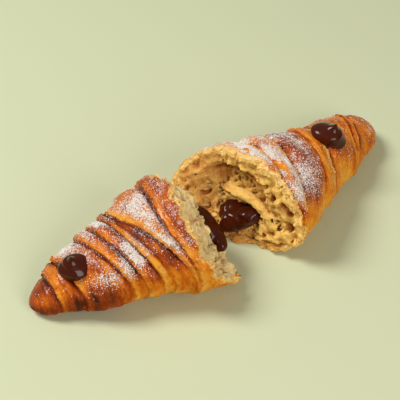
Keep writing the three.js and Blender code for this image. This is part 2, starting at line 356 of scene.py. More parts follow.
# ---------------------------------------------------------------- the dough's form
class DoughForm:
    """The outer form of one half, worked out from its sizes."""

    def __init__(self, sizes: HalfSizes) -> None:
        """Keeps the sizes as arrays and the two level directions of the half."""
        self.sizes = sizes
        self.widths = np.array(sizes.half_widths, float)
        turn = np.radians(sizes.heading)
        self.along = np.array([np.cos(turn), np.sin(turn)])
        self.mirrored = self.along[0] < 0
        sign = -1 if self.mirrored else 1
        self.far = sign * np.array([-self.along[1], self.along[0]])
        self.last = len(sizes.ledges)

    def place(self, points: Array) -> Array:
        """Goes from the half's own axes to the part's.

        Args:
            points: distances from the tip, sides and heights, in millimetres.

        Returns:
            The points in the part's axes, still in millimetres.
        """
        s, side, z = np.moveaxis(points, -1, 0)
        x = self.sizes.tip[0] + self.along[0] * s + self.far[0] * side
        y = self.sizes.tip[1] + self.along[1] * s + self.far[1] * side
        return np.stack([x, y, z], axis=-1)

    def section(self, s: Array, angle: Array) -> tuple[Array, Array]:
        """Works out the dough's section.

        Args:
            s: distance from the tip.
            angle: angle round the half.

        Returns:
            The half width at the angle, and the height of the section's centre.
        """
        far, near = through(self.widths, s, 1), through(self.widths, s, 2)
        width = near + (far - near) * (1 + np.cos(angle)) / 2
        return width, SINK * HEIGHT_TO_WIDTH * (far + near) / 2

    def lines(self, angle: Array) -> Array:
        """Works out how the ledges and the torn edge run round the half.

        Args:
            angle: angles round the half.

        Returns:
            For each angle, the distance from the tip of the tip itself, each ledge and the torn edge.
        """
        rim = self.sizes.rim
        swing = ((1 - np.cos(angle - np.radians(SLANT_PHASE))) / 2) ** SLANT_LATE
        start = (np.degrees(angle) - rim.centre + 180) % 360 - 180
        reach = 1 - smooth(np.abs(start) / np.where(start < 0, rim.before, rim.after))
        ragged = 0.7 * np.sin(5 * angle + 1) + 0.5 * np.sin(11 * angle)
        edge = rim.at + rim.tongue * reach + ragged + 0.4 * np.sin(17 * angle + 2)
        bow = clamp(np.cos(angle - np.radians(BEND_ANGLE))) ** 3
        ledges = [d.at + d.slant * swing + d.bend * bow for d in self.sizes.ledges]
        lines = [0 * angle, *ledges, edge]
        for i in range(len(lines) - 2, 0, -1):
            lines[i] = np.minimum(lines[i], lines[i + 1] - LEAST_GAP)
        return np.stack(lines)

    def radius(self, wrap: int, share: Array, s: Array, angle: Array) -> Array:
        """Half width of the dough on one wrap, without its fine relief.

        Args:
            wrap: number of the wrap, from the tip.
            share: place on the wrap, from its own ledge (0) to the next (1).
            s: distance from the tip.
            angle: angle round the half.

        Returns:
            The half width, in millimetres.
        """
        sizes = self.sizes
        width, _ = self.section(s, angle)
        shape = 1.2 * np.sin(np.pi * (0.12 + 0.78 * share)) ** 0.8 - 0.85 - 0.85 * share**5
        rise = sizes.ledges[wrap - 1].rise * shape if wrap else -TIP_RISE * share**4
        waves = 0.5 * np.sin(s * 0.21 + 2 * angle + wrap)
        waves = waves + 0.3 * np.sin(s * 0.37 - 3 * angle + 2.1 * wrap)
        waves = waves + 0.2 * np.sin(s * 0.11 + 5 * angle - wrap)
        closing = np.sqrt(1 - (1 - clamp(s / sizes.cap)) ** 2)
        outward = np.maximum(0, np.cos(angle - np.radians(FLARE_ANGLE)))
        lean = sizes.flare * smooth((s - FLARE_FROM) / FLARE_RUN) * outward
        proud = 0.3 + 0.7 * smooth((np.sin(angle) + 0.3) / 1.1)
        body = width + rise * proud + waves * width / 30
        return body * closing + lean

    def point(self, s: Array, angle: Array, radius: Array) -> Array:
        """Makes points of a section, kept above the table.

        Args:
            s: distance from the tip.
            angle: angle round the half.
            radius: half width.

        Returns:
            The points in the half's own axes.
        """
        _, centre = self.section(s, angle)
        height = HEIGHT_TO_WIDTH * radius * np.where(np.sin(angle) < 0, BELLY, 1)
        z = np.maximum(0, centre + height * np.sin(angle))
        return np.stack(np.broadcast_arrays(s, radius * np.cos(angle), z), axis=-1)

    def edge(self, angle: Array) -> Array:
        """Points of the torn edge."""
        s = self.lines(angle)[-1]
        return self.point(s, angle, self.radius(self.last, 1 + 0 * s, s, angle))


class TornFace:
    """The torn face of one half, as a distance from the tip over side and height."""

    def __init__(self, form: DoughForm, cave_depth: float) -> None:
        """Looks along the torn edge from the middle of the face."""
        self.form, self.cave_depth = form, cave_depth
        angle = np.radians(np.arange(0, 360, 0.5))
        edge = form.edge(angle)
        _, side, height = form.sizes.mouth
        turn = np.arctan2(edge[:, 2] - height, edge[:, 1] - side)
        order = np.argsort(turn)
        turn, edge = turn[order], edge[order]
        self.turn = np.concatenate([turn - 2 * np.pi, turn, turn + 2 * np.pi])
        self.reach = np.tile(np.hypot(edge[:, 1] - side, edge[:, 2] - height), 3)
        self.edge_s = np.tile(edge[:, 0], 3)

    def at(self, side: Array, z: Array) -> tuple[Array, Array]:
        """Distance of the torn face from the tip.

        Args:
            side: places across the half.
            z: heights.

        Returns:
            The distances, and how far each place is from the middle (0) to the torn edge (1).
        """
        sizes = self.form.sizes
        middle_s, middle_side, middle_z = sizes.mouth
        turn = np.arctan2(z - middle_z, side - middle_side)
        reach = np.interp(turn, self.turn, self.reach)
        edge_s = np.interp(turn, self.turn, self.edge_s)
        ring = clamp(np.hypot(side - middle_side, z - middle_z) / reach)
        cave = sizes.cave
        across, up = (side - cave.side) / cave.half_width, (z - cave.z) / cave.half_height
        hollow = self.cave_depth * smooth(1.6 * (1 - across**2 - up**2))
        crag = 0.8 * np.sin(side * 0.9 + z * 0.5) * np.sin(z * 0.8 + 1)
        s = edge_s + (middle_s - edge_s) * (1 - ring**sizes.fullness)
        return s - hollow - crag * clamp(4 * (1 - ring)), ring


# ---------------------------------------------------------------- meshes
def mesh_object(
    name: str, points: Array, faces: Sequence[Array], marks: dict[str, Array]
) -> bpy.types.Object:
    """Makes a mesh object at the origin.

    Args:
        name: the piece's name.
        points: places in the part's axes, in millimetres.
        faces: arrays of faces with the same number of corners in each.
        marks: values or vectors for each point, by attribute name.

    Returns:
        The new object, linked to the scene and shaded smooth.
    """
    mesh = bpy.data.meshes.new(name)
    mesh.vertices.add(len(points))
    mesh.vertices.foreach_set("co", (points * MM).astype(np.float32).ravel())
    corners = np.concatenate([f.ravel() for f in faces]).astype(np.int32)
    sizes = np.concatenate([np.full(len(f), f.shape[1]) for f in faces])
    starts = np.concatenate([[0], np.cumsum(sizes)[:-1]]).astype(np.int32)
    mesh.loops.add(len(corners))
    mesh.loops.foreach_set("vertex_index", corners)
    mesh.polygons.add(len(sizes))
    mesh.polygons.foreach_set("loop_start", starts)
    mesh.polygons.foreach_set("use_smooth", np.ones(len(sizes), bool))
    for key, values in marks.items():
        vector = values.ndim == 2
        layer = mesh.attributes.new(key, "FLOAT_VECTOR" if vector else "FLOAT", "POINT")
        layer.data.foreach_set("vector" if vector else "value", values.astype(np.float32).ravel())
    mesh.update(calc_edges=True)
    mesh.validate()
    piece = bpy.data.objects.new(name, mesh)
    bpy.context.scene.collection.objects.link(piece)
    return piece


def ring_faces(rows: int, columns: int, flip: bool) -> list[Array]:
    """Faces of a closed body through rings of points, with a pole before and one after them.

    Args:
        rows: number of rings.
        columns: points in a ring.
        flip: turns the faces round.

    Returns:
        The quads between the rings, and the triangles at the two poles.
    """
    i, j = np.meshgrid(np.arange(rows - 1), np.arange(columns), indexing="ij")
    after = (j + 1) % columns
    near, distant = i * columns, (i + 1) * columns
    quads = np.stack([near + j, near + after, distant + after, distant + j], -1).reshape(-1, 4)
    j = np.arange(columns)
    after = (j + 1) % columns
    first, last = rows * columns, rows * columns + 1
    start = np.stack([first + 0 * j, after, j], -1)
    tail = (rows - 1) * columns
    end = np.stack([last + 0 * j, tail + j, tail + after], -1)
    faces = [quads, np.concatenate([start, end])]
    return [f[:, ::-1] for f in faces] if flip else faces


def skin_of(values: Array, origin: Array, step: float, flip: bool) -> tuple[Array, Array]:
    """The surface where a field on a grid passes through zero, positive inside.

    Args:
        values: the field.
        origin: place of the grid's first point.
        step: distance between grid points.
        flip: turns the faces round.

    Returns:
        The points of the surface, and its four-cornered faces.
    """
    values = values.copy()
    for axis in range(3):
        edge = np.moveaxis(values, axis, 0)
        edge[0] = edge[-1] = -1.0
    shape = np.array(values.shape)
    sums, hits, quads = np.zeros((3, values.size)), np.zeros(values.size), []
    for axis in range(3):
        a = np.moveaxis(np.moveaxis(values, axis, 0)[:-1], 0, axis)
        b = np.moveaxis(np.moveaxis(values, axis, 0)[1:], 0, axis)
        place = np.argwhere((a > 0) != (b > 0))
        start, end = a[tuple(place.T)], b[tuple(place.T)]
        crossing = place.astype(float)
        crossing[:, axis] += start / (start - end)
        u, v = (axis + 1) % 3, (axis + 2) % 3
        around = []
        for du, dv in ((1, 1), (0, 1), (0, 0), (1, 0)):
            cell = place.copy()
            cell[:, u] -= du
            cell[:, v] -= dv
            index = np.ravel_multi_index(cell.T, shape)
            hits += np.bincount(index, minlength=values.size)
            for k in range(3):
                sums[k] += np.bincount(index, crossing[:, k], minlength=values.size)
            around.append(index)
        faces = np.stack(around, -1)
        turned = start < 0
        faces[turned] = faces[turned][:, ::-1]
        quads.append(faces)
    used = np.flatnonzero(hits)
    number = np.zeros(values.size, np.int64)
    number[used] = np.arange(len(used))
    points = (sums[:, used] / hits[used]).T * step + origin
    faces = number[np.concatenate(quads)]
    return points, faces[:, ::-1] if flip else faces


def without_scraps(points: Array, faces: Array, least: int) -> tuple[Array, Array]:
    """Drops loose bits of a surface.

    Args:
        points: the surface's points.
        faces: its faces.
        least: a bit with fewer points than this is dropped.

    Returns:
        The points and faces that are left.
    """
    label = np.arange(len(points))
    links = np.concatenate([faces[:, [k, (k + 1) % 4]] for k in range(4)])
    while True:
        low = np.minimum(label[links[:, 0]], label[links[:, 1]])
        new = label.copy()
        np.minimum.at(new, links[:, 0], low)
        np.minimum.at(new, links[:, 1], low)
        new = new[new]
        if (new == label).all():
            break
        label = new
    keep = np.bincount(label, minlength=len(points))[label] >= least
    number = np.cumsum(keep) - 1
    return points[keep], number[faces[keep[faces].all(1)]]


# ---------------------------------------------------------------- nodes
class Wire:
    """A node's output that is added, multiplied and so on like a number."""

    def __init__(self, bench: "Bench", socket: bpy.types.NodeSocket) -> None:
        """Keeps the tree and the socket."""
        self.bench, self.socket = bench, socket

    def _maths(self, operation: str, *values: Value, clamped: bool = False) -> "Wire":
        """Adds one Math node."""
        settings = {"operation": operation, "use_clamp": clamped}
        return self.bench.add("ShaderNodeMath", settings, dict(enumerate(values)))

    def __add__(self, other: Value) -> "Wire":
        """Sum."""
        return self._maths("ADD", self, other)

    def __sub__(self, other: Value) -> "Wire":
        """Difference."""
        return self._maths("SUBTRACT", self, other)

    def __rsub__(self, other: Value) -> "Wire":
        """Difference from a number."""
        return self._maths("SUBTRACT", other, self)

    def __mul__(self, other: Value) -> "Wire":
        """Product."""
        return self._maths("MULTIPLY", self, other)

    def __pow__(self, other: Value) -> "Wire":
        """Power."""
        return self._maths("POWER", self, other)

    def clamped(self) -> "Wire":
        """The same, kept between 0 and 1."""
        return self._maths("ADD", self, 0.0, clamped=True)

    def between(self, low: float, high: float) -> "Wire":
        """Goes smoothly from 0 at low to 1 at high."""
        inputs = {"Value": self, "From Min": low, "From Max": high, "To Min": 0.0, "To Max": 1.0}
        return self.bench.add("ShaderNodeMapRange", {"interpolation_type": "SMOOTHSTEP"}, inputs)

    __radd__ = __add__
    __rmul__ = __mul__


class Bench:
    """Adds nodes to one tree."""

    def __init__(self, tree: bpy.types.NodeTree) -> None:
        """Keeps the tree."""
        self.tree = tree

    def node(self, kind: str, settings: dict[str, Any], inputs: Inputs) -> bpy.types.Node:
        """Adds a node, sets its settings, then the values or links of its sockets.

        Args:
            kind: the node's type.
            settings: its properties, such as operation, or the stops of a ramp.
            inputs: values, sockets or wires, by socket name, identifier or place.

        Returns:
            The node.
        """
        node = self.tree.nodes.new(kind)
        for key, value in settings.items():
            if key == "stops":
                ramp = node.color_ramp
                while len(ramp.elements) < len(value):
                    ramp.elements.new(1.0)
                for element, (place, colour) in zip(ramp.elements, value):
                    element.position, element.color = place, colour
            else:
                setattr(node, key, value)
        for key, value in inputs.items():
            if isinstance(key, int):
                socket = node.inputs[key]
            else:
                socket = next(i for i in node.inputs if key in (i.identifier, i.name) and i.enabled)
            value = value.socket if isinstance(value, Wire) else value
            if isinstance(value, bpy.types.NodeSocket):
                self.tree.links.new(value, socket)
            else:
                socket.default_value = value
        return node

    def add(self, kind: str, settings: dict[str, Any], inputs: Inputs, out: str = "") -> Wire:
        """Adds a node.

        Args:
            kind: the node's type.
            settings: its properties.
            inputs: values, sockets or wires for its sockets.
            out: the wanted output's name, or nothing for the first one that is in use.

        Returns:
            The output.
        """
        node = self.node(kind, settings, inputs)
        found = (o for o in node.outputs if o.enabled and (not out or out in (o.identifier, o.name)))
        return Wire(self, next(found))

    def mark(self, name: str, out: str = "Fac") -> Wire:
        """The piece's own attribute."""
        return self.add("ShaderNodeAttribute", {"attribute_name": name}, {}, out)

    def mix(self, a: Value, b: Value, factor: Value) -> Wire:
        """Mixes two colours.

        Args:
            a: the colour at factor 0.
            b: the colour at factor 1.
            factor: how much of the second.

        Returns:
            The mixed colour.
        """
        settings = {"data_type": "RGBA", "blend_type": "MIX", "clamp_factor": True}
        inputs = {"Factor_Float": factor, "A_Color": a, "B_Color": b}
        return self.add("ShaderNodeMix", settings, inputs, "Result_Color")

    def grain(
        self, where: Value, scale: float, detail: float = 3.0, stretch: Sequence[float] = (1, 1, 1)
    ) -> Wire:
        """Fine random texture.

        Args:
            where: the coordinates.
            scale: waves to a metre.
            detail: number of finer layers.
            stretch: scale along each axis.

        Returns:
            Values around 0.5.
        """
        spread = self.add("ShaderNodeMapping", {}, {"Vector": where, "Scale": stretch})
        inputs = {"Vector": spread, "Scale": scale, "Detail": detail, "Roughness": 0.6}
        return self.add("ShaderNodeTexNoise", {}, inputs, "Fac")

    def pores(self, where: Value, scale: float) -> Wire:
        """Distance to scattered points, a number of them to a metre."""
        inputs = {"Vector": where, "Scale": scale}
        return self.add("ShaderNodeTexVoronoi", {"feature": "F1"}, inputs, "Distance")

    def feed(self, shader: bpy.types.Node, wires: dict[str, Wire], values: dict[str, Any]) -> None:
        """Links and sets the sockets of a shader.

        Args:
            shader: the shader node.
            wires: what changes over the surface, by socket name.
            values: what is the same all over it, by socket name.
        """
        for name, wire in wires.items():
            self.tree.links.new(wire.socket, shader.inputs[name])
        for name, value in values.items():
            shader.inputs[name].default_value = value


def new_material(name: str) -> tuple[bpy.types.Material, Bench, bpy.types.Node]:
    """Makes a material.

    Args:
        name: its name.

    Returns:
        The material, a bench for its tree, and its shader node.
    """
    material = bpy.data.materials.new(name)
    material.use_nodes = True
    shader = next(n for n in material.node_tree.nodes if n.type == "BSDF_PRINCIPLED")
    return material, Bench(material.node_tree), shader


def colour(red: float, green: float, blue: float) -> Colour:
    """A colour given as it looks on a screen, from 0 to 255, made linear."""
    linear = [((c / 255 + 0.055) / 1.055) ** 2.4 if c > 10 else c / 255 / 12.92 for c in (red, green, blue)]
    return (*linear, 1.0)


# ---------------------------------------------------------------- finishes
@dataclass(frozen=True)
class CrustFinish:
    """Egg-washed crust: browned by its bake, with painted shade in its creases, flaky streaks, dust and a soft
    gloss.
    """

    name: str = "baked_crust"
    stops: tuple[tuple[float, Colour], ...] = (
        (0.0, colour(252, 204, 112)),
        (0.25, colour(246, 168, 52)),
        (0.5, colour(226, 124, 16)),
        (0.72, colour(174, 70, 3)),
        (1.0, colour(78, 26, 4)),
    )
    torn: Colour = colour(255, 211, 122)
    dust: Colour = colour(250, 246, 238)
    roughness: float = 0.36
    gloss: float = 0.5

    def material(self) -> bpy.types.Material:
        """Builds the material.

        Returns:
            The material.
        """
        material, bench, shader = new_material(self.name)
        where = bench.add("ShaderNodeTexCoord", {}, {}, "Object")
        flow = bench.mark("flow", "Vector")
        streaks = bench.grain(flow, 1.0, 4.0, (1.4, 0.22, 0.22))
        blotches = bench.grain(where, 160.0, 4.0)
        fine = bench.grain(where, 1400.0, 2.0)
        # The bake mark carries the crust's browning and, in its creases, painted shade.
        bake = bench.mark("bake") + (streaks - 0.5) * 0.5 + (blotches - 0.5) * 0.42 + (fine - 0.5) * 0.22
        crust = bench.add("ShaderNodeValToRGB", {"stops": self.stops}, {"Fac": bake}, "Color")
        layers = bench.mix(crust, self.torn, bench.mark("torn"))
        specks = bench.pores(where, 1500.0)
        patches = bench.grain(where, 420.0, 3.0)
        speckle = bench.grain(where, 1500.0, 2.0)
        heap = bench.mark("sugar") * 0.4 + (patches - 0.5) * 0.35 - specks * 0.12 + speckle
        dusted = heap.between(0.66, 0.82) * (bench.mark("sugar") * 6.0).clamped()
        look = bench.mix(layers, self.dust, dusted * 0.8)
        rough = (self.roughness + (blotches - 0.5) * 0.3 + dusted * 0.5 + bench.mark("torn") * 0.4).clamped()
        lines = bench.grain(flow, 1.0, 2.0, (2.6, 0.3, 0.3))
        relief = streaks * 0.5 + lines * 0.4 + fine * 0.8 + dusted * 0.4 + blotches * 0.5
        lit = bench.add("ShaderNodeBump", {}, {"Height": relief, "Strength": 0.85, "Distance": 0.0008})
        shine = (self.gloss * bench.mark("up")).clamped()
        wires = {"Base Color": look, "Roughness": rough, "Normal": lit, "Coat Weight": shine}
        bench.feed(shader, wires, {"Coat Roughness": 0.2, "Specular IOR Level": 0.08})
        return material


@dataclass(frozen=True)
class CrumbFinish:
    """Soft torn crumb, paler on its open walls, with painted shade that makes it darker and warmer in its
    hollows.
    """

    name: str = "torn_crumb"
    # deep is the painted shade colour, for the hollows; pale is the crumb's colour on its open face.
    deep: Colour = colour(176, 80, 8)
    pale: Colour = colour(255, 205, 110)
    roughness: float = 0.75

    def material(self) -> bpy.types.Material:
        """Builds the material.

        Returns:
            The material.
        """
        material, bench, shader = new_material(self.name)
        where = bench.add("ShaderNodeTexCoord", {}, {}, "Object")
        blotches = bench.grain(where, 130.0, 3.0)
        fine = bench.grain(where, 1500.0, 2.0)
        grains = bench.grain(where, 480.0, 3.0)
        # open is the painted light share: where it is low, the deep colour paints shade.
        share = (bench.mark("open") + (blotches - 0.5) * 0.7 + (grains - 0.52) * 1.1).clamped()
        look = bench.mix(self.deep, self.pale, share)
        relief = fine + blotches + grains
        lit = bench.add("ShaderNodeBump", {}, {"Height": relief, "Strength": 0.8, "Distance": 0.001})
        values = {"Roughness": self.roughness, "Specular IOR Level": 0.1, "Subsurface Weight": 0.15}
        values |= {"Subsurface Radius": (0.6, 0.35, 0.15), "Subsurface Scale": 0.004}
        bench.feed(shader, {"Base Color": look, "Normal": lit}, values)
        return material


@dataclass(frozen=True)
class ChocolateFinish:
    """Glossy dark cream, a little milkier on its ridges."""

    name: str = "chocolate_cream"
    dark: Colour = colour(60, 17, 3)
    light: Colour = colour(100, 38, 14)
    roughness: float = 0.2

    def material(self) -> bpy.types.Material:
        """Builds the material.

        Returns:
            The material.
        """
        material, bench, shader = new_material(self.name)
        where = bench.add("ShaderNodeTexCoord", {}, {}, "Object")
        swirls = bench.grain(where, 90.0, 3.0)
        streaks = bench.grain(where, 420.0, 2.0, (1.0, 0.25, 0.5))
        look = bench.mix(self.dark, self.light, (swirls - 0.35).clamped())
        rough = (self.roughness + (streaks - 0.5) * 0.16).clamped()
        relief = swirls * 0.6 + streaks * 0.3
        lit = bench.add("ShaderNodeBump", {}, {"Height": relief, "Strength": 0.3, "Distance": 0.0006})
        wires = {"Base Color": look, "Roughness": rough, "Normal": lit}
        bench.feed(shader, wires, {"Coat Weight": 0.3, "Coat Roughness": 0.06, "Specular IOR Level": 0.1})
        return material


@dataclass(frozen=True)
class SugarFinish:
    """Powdered sugar, white with a faint warmth where the grains are thin."""

    name: str = "powdered_sugar"
    white: Colour = colour(252, 250, 246)
    warm: Colour = colour(240, 226, 206)

    def material(self) -> bpy.types.Material:
        """Builds the material.

        Returns:
            The material.
        """
        material, bench, shader = new_material(self.name)
        where = bench.add("ShaderNodeTexCoord", {}, {}, "Object")
        fine = bench.grain(where, 900.0, 2.0)
        look = bench.mix(self.warm, self.white, fine.between(0.3, 0.6))
        bench.feed(shader, {"Base Color": look}, {"Roughness": 0.85})
        return material


# ---------------------------------------------------------------- pieces
# Waves to a millimetre of the crust's relief, along its flow or in its rounded places.
RIDGE_WAVES = (0.62, 0.06, 0.06)
FINE_RIDGE_WAVES = (1.9, 0.11, 0.11)
FRAY_WAVES = (0, 0.5, 0.5)
TEAR_WAVES = (0, 0.45, 0.45)
LUMP_WAVES = 0.14
BLISTER_WAVES = 0.3
PIMPLE_WAVES = 0.75
LEAST_ROWS = 6
FIRST_SHARE = 0.012  # where the first row of the tip lies, next to its pole
FLOW_OFFSET = 40  # keeps the streaks of one wrap apart from the next one's
LIP_FADE = 0.8  # how far from its edge a lip hangs over, in millimetres
PEEL_DEPTH = 0.35  # thickness of the layers that came away
LEAST_PEEL = 0.9  # how far from the tear they came away at least, in millimetres
CREASE_SHADE_AND_BROWNING = 0.45  # how much darker the creases are: painted shade, over some browning
TIP_END = 42  # where the tip's browner flanks end, and over which length
TIP_RUN = 20
# Rings of the torn edge: how far beyond it, in millimetres, and how many walls' width inwards.
TORN_STEPS = (
    (0.4, 0.2),
    (0.7, 0.45),
    (0.6, 0.7),
    (0.1, 0.9),
    (-0.8, 1.1),
    (-2.5, 1.8),
    (-6, 4),
    (-12, 8),
)


def off_table(z: Array) -> Array:
    """Goes from 0 near the table to 1 a few millimetres above it."""
    return smooth((z - 1.5) / 4)


@dataclass(frozen=True)
class WrapRows:
    """Rows of places over one wrap, with what its relief and its marks are worked out from."""

    wrap: int
    first: bool
    last: bool
    span: Array
    share: Array
    s: Array
    angle: Array
    radius: Array
    after_lip: Array
    before_foot: Array
    rounded: Array
    flow: Array
    up: Array
    crisp: Array
    burst: Array

    @classmethod
    def over(cls, form: DoughForm, wrap: int, lines: Array, turn: Array, row_step: float) -> "WrapRows":
        """Lays the rows over one wrap.

        Args:
            form: the half's form.
            wrap: number of the wrap, from the tip.
            lines: distances from the tip of the ledges, for each column.
            turn: angle of each column.
            row_step: distance between rows.

        Returns:
            The rows.
        """
        first, last = wrap == 0, wrap == form.last
        start = lines[wrap] + (0 if first else LEDGE_RUN / 2)
        end = lines[wrap + 1] - (0 if last else LEDGE_RUN / 2)
        count = max(LEAST_ROWS, int(np.percentile(end - start, 75) / row_step))
        even = np.linspace(FIRST_SHARE if first else 0, 1, count)
        share = (0.6 * even + 0.4 * smooth(even))[:, None]
        s = start + (end - start) * share
        angle = turn + 0 * s
        radius = form.radius(wrap, share + 0 * s, s, angle)
        rounded = np.stack([s, radius * np.cos(angle), radius * np.sin(angle)], -1)
        flow = rounded.copy()
        flow[..., 0] = s - start + FLOW_OFFSET * wrap
        up = np.sin(angle)
        crisp = 0.12 + 0.88 * smooth((up - 0.05) / 0.7)
        burst = sum((b.share(s, angle, radius) * b.depth for b in form.sizes.blisters), np.zeros_like(s))
        return cls(
            wrap=wrap,
            first=first,
            last=last,
            span=end - start,
            share=share,
            s=s,
            angle=angle,
            radius=radius,
            after_lip=s - start,
            before_foot=end - s,
            rounded=rounded,
            flow=flow,
            up=up,
            crisp=crisp,
            burst=burst,
        )


class Dressed:
    """What the sculpted pieces share: each has a slot, and stands for one solid of its half."""

    SLOT = Slot.CRUST
    SOLID = "pastry"

    def dress(self, material: bpy.types.Material) -> None:
        """Gives the piece its finish and body, and hides the solid that it stands for.

        Args:
            material: the finish.
        """
        self.piece.data.materials.append(material)
        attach(self.piece, BODY)
        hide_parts(f"{self.SOLID}_{self.form.sizes.name}")


@dataclass
class Crust(Dressed):
    """The crust of one half: overlapping wraps with a torn edge, closed inside its wall."""

    form: DoughForm
    columns: int = 360
    row_step: float = 0.3
    wall: float = 1.5
    wall_depth: float = 20.0
    lip: float = 0.5
    overhang: float = 0.5
    groove: float = 0.7
    tear: float = 1.3
    peel: float = 1.2
    piece: Optional[bpy.types.Object] = None
    points: list[Array] = field(default_factory=list)
    marks: dict[str, list[Array]] = field(default_factory=dict)

    def build(self) -> bpy.types.Object:
        """Makes the mesh.

        Returns:
            The piece.
        """
        form = self.form
        angle = 2 * np.pi * np.arange(self.columns) / self.columns
        lines = form.lines(angle)
        for wrap in range(form.last + 1):
            self._wrap(wrap, lines, angle)
        edge = self.points[-1][-1]
        self._torn_rows(edge, angle)
        rows = np.concatenate(self.points)
        _, centre = form.section(np.zeros(1), np.zeros(1))
        inside = edge.mean(0) - np.array([self.wall_depth + 1, 0, 0])
        poles = np.array([[0, 0, centre[0]], inside])
        points = np.concatenate([rows.reshape(-1, 3), poles])
        faces = ring_faces(len(rows), self.columns, form.mirrored)
        marks = {}
        for key, parts in self.marks.items():
            values = np.concatenate(parts)
            values = values.reshape(-1, *values.shape[2:])
            marks[key] = np.concatenate([values, values[:1], values[-1:]])
        self.piece = mesh_object(f"crust_{form.sizes.name}", form.place(points), faces, marks)
        return self.piece

    def _keep(self, points: Array, **marks: Array) -> None:
        """Adds rows of points.

        Args:
            points: the rows, in the half's own axes.
            marks: the value of each mark at each point.
        """
        self.points.append(points)
        for key, value in marks.items():
            self.marks.setdefault(key, []).append(value + np.zeros(points.shape[:2] + value.shape[2:]))

    def _wrap(self, wrap: int, lines: Array, turn: Array) -> None:
        """Adds the rows of one wrap, with its relief and its marks.

        Args:
            wrap: number of the wrap, from the tip.
            lines: distances from the tip of the ledges, for each column.
            turn: angle of each column.
        """
        form = self.form
        rows = WrapRows.over(form, wrap, lines, turn, self.row_step)
        torn = self._peeled(rows) if rows.last else np.zeros_like(rows.s)
        ridges, lumps, relief = self._relief(rows, torn)
        frayed = 0.35 * layered_noise(rows.rounded * np.array(FRAY_WAVES), 60 + wrap)
        shift = np.zeros_like(rows.s)
        if not rows.first:
            shift = (self.overhang * rows.crisp - frayed) * np.exp(-rows.after_lip / LIP_FADE)
        zigzag = layered_noise(rows.rounded * np.array(TEAR_WAVES), 77)
        tear = zigzag * self.tear * bump(rows.before_foot, 2.0)
        points = form.point(rows.s - shift + (tear if rows.last else 0), rows.angle, rows.radius + relief)
        self._keep(
            points,
            bake=self._browning(rows, ridges, lumps),
            torn=torn,
            sugar=self._dusting(rows, torn),
            flow=rows.flow,
            up=rows.up,
            flaky=self._flaking(rows, points),
        )

    def _relief(self, rows: WrapRows, torn: Array) -> tuple[Array, Array, Array]:
        """Works out how far the crust stands out from the dough's form.

        Args:
            rows: the wrap's rows.
            torn: share of the inner layers that show.

        Returns:
            The ridges and lumps alone, and the whole relief, in millimetres.
        """
        wrap, rounded = rows.wrap, rows.rounded
        ridges = layered_noise(rows.flow * np.array(RIDGE_WAVES), 3 + wrap) * 0.34
        ridges = ridges + 0.1 * noise(rows.flow * np.array(FINE_RIDGE_WAVES), 40 + wrap)
        lumps = layered_noise(rounded * LUMP_WAVES, 11 + wrap) * 0.42
        blister, _, _ = cells(rounded * BLISTER_WAVES, 21)
        blisters = 0.4 * smooth((0.4 - blister) / 0.4)
        pimple, _, _ = cells(rounded * PIMPLE_WAVES, 31)
        pimples = 0.14 * smooth((0.5 - pimple) / 0.5) * smooth(0.5 + 1.6 * noise(rounded * 0.1, 5))
        fade = clamp(rows.span / 4)
        lip = groove = np.zeros_like(rows.s)
        if not rows.first:
            lip = self.lip * rows.crisp * np.exp(-rows.after_lip / 1.2)
        if not rows.last:
            groove = self.groove * rows.crisp * bump(rows.before_foot, 0.9)
        relief = (ridges + lumps + blisters + pimples) * clamp(rows.s / 6) + (lip - groove) * fade
        return ridges, lumps, relief - rows.burst - PEEL_DEPTH * torn

    def _peeled(self, rows: WrapRows) -> Array:
        """Works out where the outer layers came away beside the tear.

        Args:
            rows: the last wrap's rows.

        Returns:
            The share of the inner layers that show.
        """
        spread = 0.7 + 0.6 * layered_noise(rows.rounded * 0.22, 83)
        reach = LEAST_PEEL + self.peel * smooth((rows.up - 0.3) / 0.5) * spread
        return 0.9 * smooth(1.6 * (reach - rows.before_foot) / np.maximum(reach, LEAST_PEEL))

    def _browning(self, rows: WrapRows, ridges: Array, lumps: Array) -> Array:
        """Works out how brown the crust is: by wrap and height, darker on ridges, and darker in creases, where
        painted shade lies over some browning.

        Args:
            rows: the wrap's rows.
            ridges: relief of its ridges.
            lumps: relief of its lumps.

        Returns:
            The bake, with painted shade in the creases, from pale (0) to dark (1).
        """
        sizes, up, burst = self.form.sizes, rows.up, rows.burst
        low = smooth((0.25 - up) / 0.9)
        flank = sizes.flank[0] + sizes.flank[1] * smooth((TIP_END - rows.s) / TIP_RUN)
        band = flank + (sizes.bands[rows.wrap] - flank) * smooth((up + 0.1) / 0.8)
        bake = band + 0.12 * (up - 0.4) - 0.1 * low + 0.3 * lumps + 0.3 * ridges
        pale_lip = 0 if rows.first else 0.1 * bump(rows.after_lip - 0.8, 0.9)
        bake = bake + 0.1 * np.sin(np.pi * clamp(rows.share)) - pale_lip
        # Painted shade in the crease before the next wrap, over some browning.
        if not rows.last:
            bake = bake + CREASE_SHADE_AND_BROWNING * rows.crisp * bump(rows.before_foot, 1.3)
        return clamp(bake + 0.12 * bump(burst - 0.3, 0.25) * (burst > 0.02) - 0.1 * (burst > 0.6))

    def _dusting(self, rows: WrapRows, torn: Array) -> Array:
        """Works out how much sugar lies on the crust: in patches on the crowns, none in the tear.

        Args:
            rows: the wrap's rows.
            torn: share of the inner layers that show.

        Returns:
            The share of sugar.
        """
        patch = clamp(0.6 + 0.55 * layered_noise(rows.rounded * 0.11, 51, 2))
        patch = patch * (1 - smooth(2 * rows.burst)) * (1 - 0.7 * torn)
        crown = 0.25 + 0.75 * smooth(1.7 * np.sin(np.pi * clamp(rows.share * (0.6 if rows.last else 1))))
        return self.form.sizes.dusted[rows.wrap] * smooth((rows.up - 0.2) / 0.55) * patch * crown

